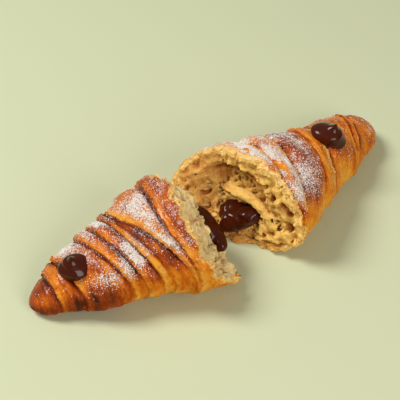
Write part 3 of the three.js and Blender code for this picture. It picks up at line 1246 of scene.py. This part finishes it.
    def _flaking(self, rows: WrapRows, points: Array) -> Array:
        """Works out where flakes lie: a few on the lips, many at the tear, none near the table.

        Args:
            rows: the wrap's rows.
            points: their places.

        Returns:
            The share of flakes.
        """
        on_lip = (0 if rows.first else 0.25) * bump(rows.after_lip, 0.7)
        flaky = on_lip + (1 if rows.last else 0) * bump(rows.before_foot, 1.2)
        return flaky * off_table(points[..., 2])

    def _torn_rows(self, edge: Array, turn: Array) -> None:
        """Adds the rings of the torn edge and of the wall inside it.

        Args:
            edge: the last row of the last wrap.
            turn: angle of each column.
        """
        middle = np.array([0, 0, self.form.sizes.mouth[2]])
        inward = (middle - edge) * np.array([0, 1, 1])
        inward = inward / np.linalg.norm(inward, axis=1, keepdims=True)
        rough = 1 + 0.4 * layered_noise(edge * 0.35, 91)
        crag = layered_noise(edge * 0.9, 95)
        ones = np.ones((1, len(turn)))
        for k, (beyond, share) in enumerate((*TORN_STEPS, (-self.wall_depth, 12))):
            ring = edge + inward * (self.wall * share * (rough if share < 1 else np.ones_like(rough)))[:, None]
            ring[:, 0] += beyond + (0.4 * crag * (1 if k % 2 else -1) if beyond > -1 else 0)
            low = smooth((8 - ring[:, 2]) / 7)
            flaky = ones * (1.0 if -1 < beyond < 0.75 else 0.0) * off_table(ring[:, 2])
            self._keep(
                ring[None],
                bake=0.12 * ones + 0.3 * low,
                torn=ones - 0.7 * low,
                sugar=0 * ones,
                flow=ring[None],
                up=0 * ones,
                flaky=flaky,
            )


@dataclass(frozen=True)
class Blob:
    """A rounded place in a half's own axes, with its three half sizes."""

    s: float
    side: float
    z: float
    along: float
    across: float
    tall: float

    def depth(self, grid: Array) -> Array:
        """Works out how deep places lie inside the blob.

        Args:
            grid: places in the half's own axes.

        Returns:
            The depth, in millimetres, negative outside it.
        """
        sizes = np.array([self.along, self.across, self.tall])
        away = np.linalg.norm((grid - np.array([self.s, self.side, self.z])) / sizes, axis=-1)
        return (1 - away) * sizes.min()


TUFT_BLEND = 1.5  # how sharply the tufts run into each other
RIND = 4.5  # depth over which the crumb is finer behind the crust, in millimetres
RIND_LAYERS = 1.7  # layers of cells more in it
RIND_FINE = 0.38  # layers to a millimetre more, right behind the crust
CELL_LENGTH = 5.0  # of a cell along the half, in millimetres
CELLS_ROUND = 3.9  # cells to a radian round the middle of the face
LEAST_SCRAP = 400  # a loose bit with fewer points is left out


@dataclass
class Crumb(Dressed):
    """The open crumb behind the torn face of one half, as deep as its cave and some millimetres more."""

    form: DoughForm
    depth: float = 7.5
    step: float = 0.4
    seed: int = 5
    cave_depth: float = 2.5
    cell: float = 3.8
    wall: float = 0.72
    # how strongly shade is painted near the table and towards the far side of the face
    low_far_shade: float = 0.0
    fray: float = 0.4
    hollows: tuple[Blob, ...] = ()
    tufts: tuple[Blob, ...] = ()
    piece: Optional[bpy.types.Object] = None

    SLOT = Slot.CRUMB

    def build(self) -> bpy.types.Object:
        """Makes the mesh.

        Returns:
            The piece.
        """
        form, face = self.form, TornFace(self.form, self.cave_depth)
        edge = form.edge(np.radians(np.arange(0, 360, 2.0)))
        deepest = form.sizes.mouth[0] - self.cave_depth - self.depth
        low = np.array([min(edge[:, 0].min() - 3, deepest), edge[:, 1].min() - 1, -0.6])
        front = max(edge[:, 0].max(), form.sizes.mouth[0]) + 3
        high = np.array([front, edge[:, 1].max() + 1, edge[:, 2].max() + 1])
        axes = [np.arange(a, b, self.step) for a, b in zip(low, high)]
        flat = np.stack(np.meshgrid(axes[1], axes[2], indexing="ij"), -1)
        torn_s, ring = face.at(flat[..., 0], flat[..., 1])
        s = axes[0][:, None, None]
        depth = torn_s[None] - s
        skin = self._inside_crust(s, flat[None, ..., 0], flat[None, ..., 1])
        block = np.minimum(np.minimum(depth + 2.5, skin), self.depth - depth)
        block = np.minimum(block, 2.0 + 1.5 * skin - depth)
        wanted = block > -1.0
        for tuft in self.tufts:
            middle = (tuft.s, tuft.side, tuft.z)
            sizes = (tuft.along, tuft.across, tuft.tall)
            spans = [np.searchsorted(a, (c - r - 1, c + r + 1)) for a, c, r in zip(axes, middle, sizes)]
            wanted[tuple(slice(*span) for span in spans)] = True
        near = np.argwhere(wanted)
        where = tuple(near.T)
        grid = np.stack([axes[k][near[:, k]] for k in range(3)], -1)
        fine = layered_noise(grid * 0.6, self.seed + 4) * self.fray
        ragged = layered_noise(grid * 0.2, self.seed) * 1.5 + fine
        loose = clamp(3 * (1 - ring[where[1], where[2]]) + 0.3)
        solid = np.minimum(depth[where] + ragged * loose, block[where])
        solid = np.minimum(solid, grid[:, 2] - 0.3)
        walls = self._walls(grid, skin[where])
        values = np.full(block.shape, -1.0)
        values[where] = self._carved(grid, np.minimum(solid, walls))
        points, faces = skin_of(values, low, self.step, form.mirrored)
        points, faces = without_scraps(points, faces, LEAST_SCRAP)
        points = points + 0.1 * noise(points * 1.7, self.seed + 9)[:, None]
        face_s, _ = face.at(points[:, 1], points[:, 2])
        # Painted shade: the crumb darkens deeper behind the torn face and, where its strength is set, near the
        # table and towards the far side.
        low_far_mask = 1.1 * smooth((8 - points[:, 2]) / 7) + 0.7 * smooth((points[:, 1] - 9) / 8)
        shown = clamp(1.0 - (face_s - points[:, 0]) / 4) * (1 - self.low_far_shade * clamp(low_far_mask))
        name = f"crumb_{form.sizes.name}"
        self.piece = mesh_object(name, form.place(points), [faces], {"open": shown})
        return self.piece

    def _inside_crust(self, s: Array, side: Array, z: Array) -> Array:
        """Distance inside the crust's inner face.

        Args:
            s: distances from the tip.
            side: places across the half.
            z: heights.

        Returns:
            The distances, in millimetres, negative outside.
        """
        form = self.form
        _, centre = form.section(s, 0 * s)
        rise = (z - centre) / HEIGHT_TO_WIDTH
        rise = np.where(rise < 0, rise / BELLY, rise)
        angle = np.arctan2(rise, side)
        turn = np.radians(np.arange(-180, 181, 1.0))
        lines = form.lines(turn)
        before, start, end = (np.interp(angle, turn, line) for line in lines[-3:])
        share = clamp((s - start) / (end - start))
        radius = form.radius(form.last, share, np.minimum(s, end), angle)
        share = clamp((s - before) / (start - before))
        under = form.radius(form.last - 1, share, np.minimum(s, start), angle) - 1.2
        radius = np.where(s < start + 0.8, np.minimum(under, radius), radius)
        return radius - 1.0 - np.hypot(side, rise)

    def _walls(self, grid: Array, skin: Array) -> Array:
        """Makes the crumb's thin walls.

        Args:
            grid: places in the half's own axes.
            skin: their distance inside the crust.

        Returns:
            The distance inside a wall, in millimetres, negative in the cells.
        """
        _, side0, z0 = self.form.sizes.mouth
        turn = np.arctan2(grid[:, 2] - z0, grid[:, 1] - side0)
        inner = np.exp(-np.maximum(skin, 0) / RIND)
        layers = RIND_LAYERS * (1 - inner) + skin / self.cell
        warp = 0.8 * layered_noise(grid * 0.13, self.seed + 20)
        cell = np.stack([grid[:, 0] / CELL_LENGTH, layers + warp * 0.5, turn * CELLS_ROUND + warp], -1)
        first, second, _ = cells(cell, self.seed)
        size = 1 / (RIND_FINE * inner + 1 / self.cell)
        thick = self.wall + 0.5 * noise(grid * 0.3, self.seed + 30)
        return np.maximum(thick - (second - first) * size * 0.55, 1.1 - skin)

    def _carved(self, grid: Array, crumb: Array) -> Array:
        """Cuts the larger hollows and adds the tufts.

        Args:
            grid: places in the half's own axes.
            crumb: distance inside the crumb's walls there.

        Returns:
            The distance inside what is left.
        """
        for hollow in self.hollows:
            crumb = np.minimum(crumb, -hollow.depth(grid))
        if not self.tufts:
            return crumb
        near = np.flatnonzero(np.max([tuft.depth(grid) for tuft in self.tufts], axis=0) > -2.0)
        place = grid[near]
        joined = np.log(sum(np.exp(TUFT_BLEND * tuft.depth(place)) for tuft in self.tufts)) / TUFT_BLEND
        frayed = layered_noise(place * np.array([0.5, 0.3, 0.8]), self.seed + 2)
        crumb[near] = np.maximum(crumb[near], joined + 0.5 * frayed)
        return crumb


@dataclass
class Filling(Dressed):
    """The soft filling of one half: lumps that run into each other."""

    form: DoughForm
    lumps: tuple[tuple[tuple[float, ...], ...], ...]
    streaks: tuple[float, float, float] = (0.12, 0.6, 0.6)
    step: float = 0.42
    sharp: float = 2.2
    piece: Optional[bpy.types.Object] = None

    SLOT = Slot.CHOCOLATE
    SOLID = "filling"

    def build(self) -> bpy.types.Object:
        """Makes the mesh.

        Returns:
            The piece.
        """
        form = self.form
        balls = [ball for lump in self.lumps for ball in self._balls(np.array(lump, float))]
        reach = [np.array([b.along, b.across, b.tall]) for b in balls]
        centre = [np.array([b.s, b.side, b.z]) for b in balls]
        low = np.min([c - r for c, r in zip(centre, reach)], axis=0) - 2
        high = np.max([c + r for c, r in zip(centre, reach)], axis=0) + 2
        axes = [np.arange(a, b, self.step) for a, b in zip(low, high)]
        total = np.full([len(a) for a in axes], np.exp(-3.0 * self.sharp))
        for ball, c, r in zip(balls, centre, reach):
            reach_out = r * 1.4 + 2
            spans = [
                slice(*np.searchsorted(a, (c[k] - reach_out[k], c[k] + reach_out[k])))
                for k, a in enumerate(axes)
            ]
            grid = np.stack(np.meshgrid(*[a[w] for a, w in zip(axes, spans)], indexing="ij"), -1)
            total[tuple(spans)] += np.exp(self.sharp * np.maximum(ball.depth(grid), -3))
        values = np.log(total) / self.sharp
        near = np.abs(values) < 2
        place = np.argwhere(near) * self.step + low
        values[near] += 0.3 * layered_noise(place * 0.16, 8) - 0.3
        values[near] += 0.28 * noise(place * np.array(self.streaks), 12)
        points, faces = skin_of(values, low, self.step, form.mirrored)
        self.piece = mesh_object(f"filling_{form.sizes.name}_cream", form.place(points), [faces], {})
        return self.piece

    def _balls(self, stations: Array) -> list[Blob]:
        """Strings balls along one lump.

        Args:
            stations: rows of distance from the tip, side, height, half width and half height.

        Returns:
            The balls.
        """
        run = np.concatenate([[0], np.cumsum(np.linalg.norm(np.diff(stations[:, :3], axis=0), axis=1))])
        at = np.linspace(0, run[-1], max(len(stations), int(run[-1] / 1.6)))
        table = np.column_stack([run, stations])
        values = np.stack([through(table, at, k) for k in range(1, 6)], -1)
        return [Blob(s, side, z, wide, wide, tall) for s, side, z, wide, tall in values]


@dataclass
class Dollop(Dressed):
    """A piped dollop with a pulled peak, sunk a little into the crust."""

    form: DoughForm
    s: float
    angle: float
    radii: tuple[float, float]
    height: float
    lean: float
    turn: float
    root: float = -3.0
    columns: int = 96
    piece: Optional[bpy.types.Object] = None

    SLOT = Slot.CHOCOLATE
    SOLID = "dollop"
    ROWS = 48
    PROFILE = (
        (0.0, 0.84),
        (0.12, 0.95),
        (0.26, 1.0),
        (0.44, 0.98),
        (0.55, 0.87),
        (0.62, 0.78),
        (0.69, 0.6),
        (0.77, 0.36),
        (0.88, 0.17),
        (1.0, 0.03),
    )

    def build(self) -> bpy.types.Object:
        """Makes the mesh.

        Returns:
            The piece.
        """
        form = self.form
        a = np.radians(self.angle)
        profile = np.array(self.PROFILE)
        share = np.linspace(0, 1, self.ROWS)
        wide = through(profile, share, 1)
        height = self.root + (self.height - self.root) * share
        turn = 2 * np.pi * np.arange(self.columns) / self.columns
        up = clamp(height / self.height)
        lean = self.lean * 2 * smooth(up) ** 2
        rounds = np.sin(turn[None] - 7.5 * up[:, None] + 1.2)
        waves = np.sin(3 * turn[None] + 5 * up[:, None] + 1)
        swirl = 1 + (0.1 * rounds + 0.035 * waves) * (1.15 - up[:, None])
        x = self.radii[0] * wide[:, None] * swirl * np.cos(turn) + lean[:, None]
        y = self.radii[1] * wide[:, None] * swirl * np.sin(turn)
        z = height[:, None] + 0.25 * np.sin(2 * turn[None] + 0.7) * wide[:, None] + 0 * x
        rings = np.stack([x, y, z], -1).reshape(-1, 3)
        ends = np.array([[0, 0, self.root - 0.4], [self.lean * 2, 0, self.height + 0.1]])
        points = np.concatenate([rings, ends])
        t = np.radians(self.turn)
        spin = np.array([[np.cos(t), -np.sin(t), 0], [np.sin(t), np.cos(t), 0], [0, 0, 1]])
        points = points @ spin.T
        far = np.array([*form.far, 0])
        out = np.array([0, 0, np.sin(a)]) + far * HEIGHT_TO_WIDTH * np.cos(a)
        tilt = np.array(Vector((0, 0, 1)).rotation_difference(Vector(out)).to_matrix())
        width, centre = form.section(np.array([self.s]), np.array([a]))
        foot = np.array([self.s, width[0] * np.cos(a), centre[0] + HEIGHT_TO_WIDTH * width[0] * np.sin(a)])
        points = points @ tilt.T + form.place(foot)
        faces = ring_faces(self.ROWS, self.columns, False)
        self.piece = mesh_object(f"dollop_{form.sizes.name}_cream", points, faces, {})
        return self.piece


@dataclass(frozen=True)
class Bit:
    """One kind of small bit: how big, how flat, how many, and the mark that says where."""

    mark: str
    size: float
    least: float
    shape: tuple[float, float, float]
    density: float
    slot: Slot
    seed: int


SUGAR_GRAIN = Bit("sugar", 0.26, 0.3, (1.0, 0.9, 0.8), 6.4, Slot.SUGAR, 3)
FLAKE = Bit("flaky", 1.0, 0.3, (1.0, 0.7, 0.16), 1.7, Slot.CRUST, 8)


@dataclass
class Strewn:
    """Small bits strewn over a piece by Geometry Nodes, kept as one plain mesh."""

    name: str
    over: bpy.types.Object
    kind: Bit

    INPUTS = (
        ("Surface", "Geometry"),
        ("Density", "Float"),
        ("Size", "Float"),
        ("Least", "Float"),
        ("Seed", "Int"),
        ("Finish", "Material"),
    )

    def build(self, material: bpy.types.Material) -> bpy.types.Object:
        """Makes the bits.

        Args:
            material: their finish.

        Returns:
            The piece.
        """
        piece = bpy.data.objects.new(self.name, self.over.data)
        bpy.context.scene.collection.objects.link(piece)
        modifier = piece.modifiers.new("strewn", "NODES")
        modifier.node_group = tree = self._tree()
        kind = self.kind
        given = {"Density": kind.density / MM**2, "Size": kind.size * MM, "Least": kind.least}
        given |= {"Seed": kind.seed, "Finish": material}
        for item in tree.interface.items_tree:
            if item.in_out == "INPUT" and item.name in given:
                modifier[item.identifier] = given[item.name]
        shown = piece.evaluated_get(bpy.context.evaluated_depsgraph_get())
        mesh = bpy.data.meshes.new_from_object(shown)
        piece.modifiers.clear()
        piece.data = mesh
        mesh.name = self.name
        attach(piece, BODY)
        return piece

    def _tree(self) -> bpy.types.NodeTree:
        """Builds the node tree that strews the bits.

        Returns:
            The tree.
        """
        tree = bpy.data.node_groups.new(f"{self.name}_tree", "GeometryNodeTree")
        for key, kind in self.INPUTS:
            tree.interface.new_socket(key, in_out="INPUT", socket_type=f"NodeSocket{kind}")
        tree.interface.new_socket("Bits", in_out="OUTPUT", socket_type="NodeSocketGeometry")
        bench = Bench(tree)
        given = bench.node("NodeGroupInput", {}, {}).outputs
        mark = bench.add("GeometryNodeInputNamedAttribute", {"data_type": "FLOAT"}, {"Name": self.kind.mark})
        spread = {"Mesh": given["Surface"], "Density": mark * given["Density"], "Seed": given["Seed"]}
        spots = bench.add("GeometryNodeDistributePointsOnFaces", {}, spread)
        ball = bench.add("GeometryNodeMeshIcoSphere", {}, {"Radius": 1.0, "Subdivisions": 1})
        bit = bench.add("GeometryNodeTransform", {}, {"Geometry": ball, "Scale": self.kind.shape})
        angles = {"Min": (0.0, 0.0, 0.0), "Max": (2 * np.pi,) * 3, "Seed": given["Seed"]}
        turn = bench.add("FunctionNodeRandomValue", {"data_type": "FLOAT_VECTOR"}, angles, "Value")
        turn = bench.add("FunctionNodeEulerToRotation", {}, {"Euler": turn})
        chance = {"Min_001": 0.0, "Max_001": 1.0, "Seed": given["Seed"]}
        chance = bench.add("FunctionNodeRandomValue", {"data_type": "FLOAT"}, chance, "Value_001")
        least = Wire(bench, given["Least"])
        size = (least + (1 - least) * chance**3) * given["Size"]
        placed = {"Points": spots, "Instance": bit, "Rotation": turn, "Scale": size}
        placed = bench.add("GeometryNodeInstanceOnPoints", {}, placed)
        real = bench.add("GeometryNodeRealizeInstances", {}, {"Geometry": placed})
        done = bench.add("GeometryNodeSetMaterial", {}, {"Geometry": real, "Material": given["Finish"]})
        bench.node("NodeGroupOutput", {}, {"Bits": done})
        return tree


# ---------------------------------------------------------------- the studio
@dataclass(frozen=True)
class Lamp:
    """A soft round light: its name, its place and width in metres, and its watts."""

    name: str
    place: tuple[float, float, float]
    size: float
    power: float

    def build(self) -> None:
        """Hangs the light, facing the croissant."""
        data = bpy.data.lights.new(self.name, "AREA")
        data.shape = "DISK"
        data.size, data.energy = self.size, self.power
        lamp = bpy.data.objects.new(self.name, data)
        lamp.location = self.place
        lamp.rotation_euler = (-Vector(self.place)).to_track_quat("-Z", "Y").to_euler()
        bpy.context.scene.collection.objects.link(lamp)


@dataclass
class Studio:
    """Camera, floor and lights."""

    look_at: tuple[float, float, float] = (-7.53, 14.3, 14.0)
    azimuth: float = -38.0
    elevation: float = 42.0
    distance: float = 476.2
    lens: float = 105.0
    floor_colour: Colour = colour(208, 213, 174)
    floor_half: float = 3000.0
    lamps: tuple[Lamp, ...] = (
        Lamp("key", (-0.42, 0.36, 0.8), 0.42, 7.0),
        Lamp("front", (-0.1, -0.8, 0.5), 0.5, 3.6),
    )

    def build(self) -> None:
        """Makes the camera, the floor, the lights and the sky."""
        scene = bpy.context.scene
        scene.view_settings.view_transform = "Standard"
        self._camera(scene)
        self._floor()
        for lamp in self.lamps:
            lamp.build()
        world = bpy.data.worlds.new("soft_room")
        world.use_nodes = True
        sky = world.node_tree.nodes["Background"]
        sky.inputs["Color"].default_value = (1.0, 0.97, 0.9, 1.0)
        sky.inputs["Strength"].default_value = 0.26
        scene.world = world

    def _camera(self, scene: bpy.types.Scene) -> None:
        """Makes the camera at the viewing angle.

        Args:
            scene: where it goes.
        """
        a, e = np.radians(self.azimuth), np.radians(self.elevation)
        back = Vector((np.sin(a) * np.cos(e), -np.cos(a) * np.cos(e), np.sin(e)))
        data = bpy.data.cameras.new("camera")
        data.lens, data.sensor_width = self.lens, 36.0
        data.clip_start, data.clip_end = 0.01, 20.0
        camera = bpy.data.objects.new("camera", data)
        camera.location = Vector(self.look_at) * MM + back * self.distance * MM
        camera.rotation_euler = (-back).to_track_quat("-Z", "Y").to_euler()
        scene.collection.objects.link(camera)
        scene.camera = camera

    def _floor(self) -> None:
        """Makes the pale floor."""
        half = self.floor_half
        points = np.array([[-half, -half, 0], [half, -half, 0], [half, half, 0], [-half, half, 0]])
        floor = mesh_object("floor", points, [np.array([[0, 1, 2, 3]])], {})
        material, _, shader = new_material("floor_paint")
        shader.inputs["Base Color"].default_value = self.floor_colour
        shader.inputs["Roughness"].default_value = 0.9
        floor.data.materials.append(material)


# Lumps of filling, each as stations of distance from the tip, side, height, half width and half height.
LEFT_CREAM = (
    ((21, -1, 12, 2.5, 2), (44, -2, 16, 5, 3.5), (64, -3, 19, 7, 4.5), (72.5, -4, 19, 5.5, 3.4)),
    (
        (70, 9.5, 22.8, 1.6, 1.6),
        (72.4, 4.5, 21.0, 3.1, 2.7),
        (74.4, -1.5, 19.2, 4.0, 3.3),
        (75.2, -7, 17.5, 3.5, 2.9),
        (75.2, -11.5, 16.4, 3.1, 2.6),
    ),
)
RIGHT_CREAM = (
    (
        (48, 1, 14, 3, 2.5),
        (64, 3, 14, 6, 4.5),
        (76, 6, 10.6, 7.0, 5.0),
        (83.5, 7.5, 10.0, 6.5, 5.0),
        (88.5, 8.0, 9.0, 5.6, 4.3),
    ),
    (
        (95.6, 7.6, 5.2, 1.7, 1.5),
        (93.4, 4.9, 7.4, 3.2, 2.8),
        (90.4, 1.6, 10.4, 4.2, 3.6),
        (87.4, -1.4, 13.2, 4.0, 3.4),
        (83, -2.2, 13.4, 3.4, 2.9),
    ),
    ((96.8, 8.5, 7.6, 0.8, 0.8), (94.8, 7.4, 10.0, 1, 1), (92.3, 6.4, 11.8, 1.1, 1)),
    ((97, 7.8, 6.1, 0.8, 0.8), (94.8, 6.3, 8.9, 1, 1), (92.3, 5, 11.0, 1.1, 1)),
)
# The larger hollows of the crumb, and the fold that hangs over the filling.
RIGHT_HOLLOWS = (
    Blob(86.0, 16.6, 26.9, 6, 3.0, 1.6),
    Blob(84.5, 12.3, 28.6, 6, 3.6, 2.0),
    Blob(84.0, 8.2, 29.9, 6, 3.6, 2.2),
    Blob(84.0, 4.2, 30.0, 6, 3.6, 2.2),
    Blob(85.0, -0.6, 30.4, 6, 3.4, 2.0),
    Blob(87.0, -5.0, 30.8, 5, 3.0, 1.6),
    Blob(83.0, 19.5, 15.4, 5, 2.6, 2.6),
    Blob(82.0, 15.6, 15.8, 6, 3.4, 3.0),
    Blob(81.5, 11.4, 18.4, 6, 3.2, 2.4),
    Blob(88.0, 24.0, 15.0, 4, 1.8, 2.4),
    Blob(91.0, 19.5, 16.8, 4, 2.0, 1.5),
    Blob(92.0, 18.4, 11.0, 3.5, 2.4, 1.6),
    Blob(92.5, 14.6, 8.6, 3.0, 2.0, 1.2),
    Blob(86.5, -12.6, 27.4, 4, 2.6, 2.6),
    Blob(86.5, -16.4, 26.6, 4, 2.4, 3.2),
    Blob(86.0, -19.2, 24.2, 3.6, 2.0, 2.8),
    Blob(86.6, -19.6, 16.0, 3.2, 1.7, 2.2),
    Blob(88.0, -18.4, 5.8, 3.2, 2.6, 1.2),
    Blob(91.4, 1.6, 3.6, 3.4, 3.8, 0.8),
    Blob(89.0, -3.6, 3.0, 3.6, 3.4, 0.9),
    Blob(88.5, -9.2, 4.2, 3.4, 2.8, 0.9),
    Blob(88.8, -5.6, 6.4, 3.4, 3.8, 0.8),
    Blob(88.0, -12.0, 8.4, 3.2, 2.8, 0.9),
    Blob(88.2, -14.0, 5.0, 3.0, 2.4, 0.8),
)
RIGHT_TUFTS = (
    Blob(87.0, 20.2, 14.4, 1.3, 1.7, 1.2),
    Blob(87.6, 18.6, 13.0, 1.1, 1.3, 1.6),
    Blob(86.0, 10.4, 19.0, 2.0, 2.2, 1.1),
    Blob(86.2, 7.4, 20.2, 2.0, 2.4, 1.3),
    Blob(86.4, 4.2, 20.8, 2.0, 2.4, 1.4),
    Blob(86.6, 1.0, 20.4, 2.0, 2.4, 1.5),
    Blob(86.8, -2.4, 19.8, 1.9, 2.2, 1.5),
    Blob(87.0, -5.8, 18.6, 1.8, 2.0, 1.6),
    Blob(87.4, -8.6, 16.4, 1.8, 1.8, 1.7),
)
LEFT_HOLLOWS = (
    Blob(67.5, -9.4, 25.6, 2.6, 2.4, 1.6),
    Blob(68.2, -11.6, 20.6, 2.6, 2.6, 1.8),
    Blob(69.5, -19.5, 18.4, 2.6, 1.8, 1.6),
)


def main() -> None:
    """Builds the croissant, piece by piece, and reports each one."""
    logging.basicConfig(level=logging.INFO, format="%(name)s: %(message)s")
    Studio().build()
    left, right = DoughForm(LEFT), DoughForm(RIGHT)
    crust, crumb = CrustFinish().material(), CrumbFinish().material()
    # The left crumb's finish, with its own painted shade colour for the hollows and a paler crumb colour.
    pale_crumb = CrumbFinish("pale_torn_crumb", colour(200, 124, 44), colour(254, 220, 156)).material()
    chocolate = ChocolateFinish().material()
    pieces = [
        (Crust(left), crust),
        (Crust(right, row_step=0.42, peel=3.0), crust),
        (Crumb(left, step=0.42, seed=5, cell=3.2, wall=0.52, fray=0.9, hollows=LEFT_HOLLOWS), pale_crumb),
        (Crumb(right, seed=9, cave_depth=6.0, low_far_shade=0.5, hollows=RIGHT_HOLLOWS, tufts=RIGHT_TUFTS), crumb),
        (Filling(left, LEFT_CREAM, streaks=(0.5, 0.12, 0.5)), chocolate),
        (Filling(right, RIGHT_CREAM), chocolate),
        (Dollop(left, s=18.7, angle=104, radii=(5.9, 5.3), height=6.6, lean=0.9, turn=150), chocolate),
        (Dollop(right, s=40, angle=104, radii=(7.4, 6.4), height=9.2, lean=1.0, turn=-60), chocolate),
    ]
    sugar = SugarFinish().material()
    for part, material in pieces:
        piece = part.build()
        part.dress(material)
        log.info("%s: %d points", piece.name, len(piece.data.vertices))
        if isinstance(part, Crust):
            side = part.form.sizes.name
            for bits in (Strewn(f"sugar_{side}", piece, SUGAR_GRAIN), Strewn(f"flakes_{side}", piece, FLAKE)):
                strewn = bits.build(sugar if bits.kind is SUGAR_GRAIN else material)
                log.info("%s: %d points", strewn.name, len(strewn.data.vertices))


if __name__ == "__main__":
    main()
